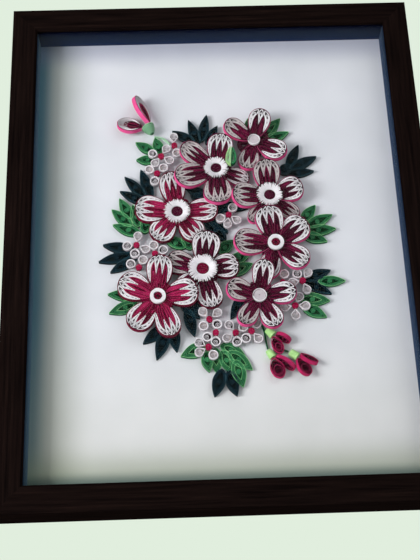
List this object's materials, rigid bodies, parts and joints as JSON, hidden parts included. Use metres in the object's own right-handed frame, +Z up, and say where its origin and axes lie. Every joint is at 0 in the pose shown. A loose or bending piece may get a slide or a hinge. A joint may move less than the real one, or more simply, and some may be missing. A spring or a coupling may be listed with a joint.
{
  "type": "quilled paper art",
  "caption": "Bouquet of quilled paper flowers, leaves and buds on a white board, behind glass in a deep dark wooden frame.",
  "frame": {"origin": "middle of the foot of the frame, half way through its depth with the hanger", "axes": "+Z up along the frame's height, +X to the right seen from the front, the picture faces -Y"},
  "size_m": [0.345, 0.0382, 0.441],
  "materials": {
    "dark_wood": "dark stained satin wood",
    "clear_glass": "clear picture glass",
    "white_board": "matt white board",
    "brown_board": "plain brown backing board",
    "zinc_steel": "zinc plated sheet",
    "pink_paper": "matt coloured paper strip",
    "crimson_paper": "matt coloured paper strip",
    "white_paper": "matt white paper strip",
    "green_paper": "matt coloured paper strip",
    "dark_green_paper": "matt coloured paper strip",
    "mint_paper": "matt coloured paper strip"
  },
  "bodies": {
    "root": {"backing_board": "brown_board", "dark_leaves_lower": "dark_green_paper", "dark_leaves_upper": "dark_green_paper", "filler_hearts": "crimson_paper", "filler_loops": "white_paper", "flower_left_centre": "white_paper", "flower_left_eye": "crimson_paper", "flower_left_loops": "white_paper", "flower_left_petals": "pink_paper", "flower_lower_left_centre": "white_paper", "flower_lower_left_eye": "crimson_paper", "flower_lower_left_loops": "white_paper", "flower_lower_left_petals": "pink_paper", "flower_lower_right_centre": "white_paper", "flower_lower_right_loops": "white_paper", "flower_lower_right_petals": "pink_paper", "flower_middle_centre": "white_paper", "flower_middle_eye": "crimson_paper", "flower_middle_loops": "white_paper", "flower_middle_petals": "pink_paper", "flower_right_centre": "white_paper", "flower_right_eye": "crimson_paper", "flower_right_loops": "white_paper", "flower_right_petals": "pink_paper", "flower_top_centre": "white_paper", "flower_top_loops": "white_paper", "flower_top_petals": "pink_paper", "flower_upper_centre": "white_paper", "flower_upper_eye": "crimson_paper", "flower_upper_loops": "white_paper", "flower_upper_petals": "pink_paper", "flower_upper_right_centre": "white_paper", "flower_upper_right_eye": "crimson_paper", "flower_upper_right_loops": "white_paper", "flower_upper_right_petals": "pink_paper", "frame_bottom_rail": "dark_wood", "frame_left_rail": "dark_wood", "frame_right_rail": "dark_wood", "frame_top_rail": "dark_wood", "framer_points": "zinc_steel", "glass_pane": "clear_glass", "green_leaves_bottom": "green_paper", "green_leaves_left": "green_paper", "green_leaves_right": "green_paper", "hanger_nails": "zinc_steel", "mount_board": "white_board", "pink_bud_cup": "mint_paper", "pink_bud_loops": "white_paper", "pink_bud_petals": "pink_paper", "pink_bud_stem": "mint_paper", "riser_coils": "white_paper", "sawtooth_hanger": "zinc_steel", "small_bud_cups": "mint_paper", "small_bud_petals": "crimson_paper", "small_bud_stems": "dark_green_paper", "spacer_bottom": "white_board", "spacer_left": "white_board", "spacer_right": "white_board", "spacer_top": "white_board", "spiral_bud": "green_paper"}
  },
  "joints": []
}
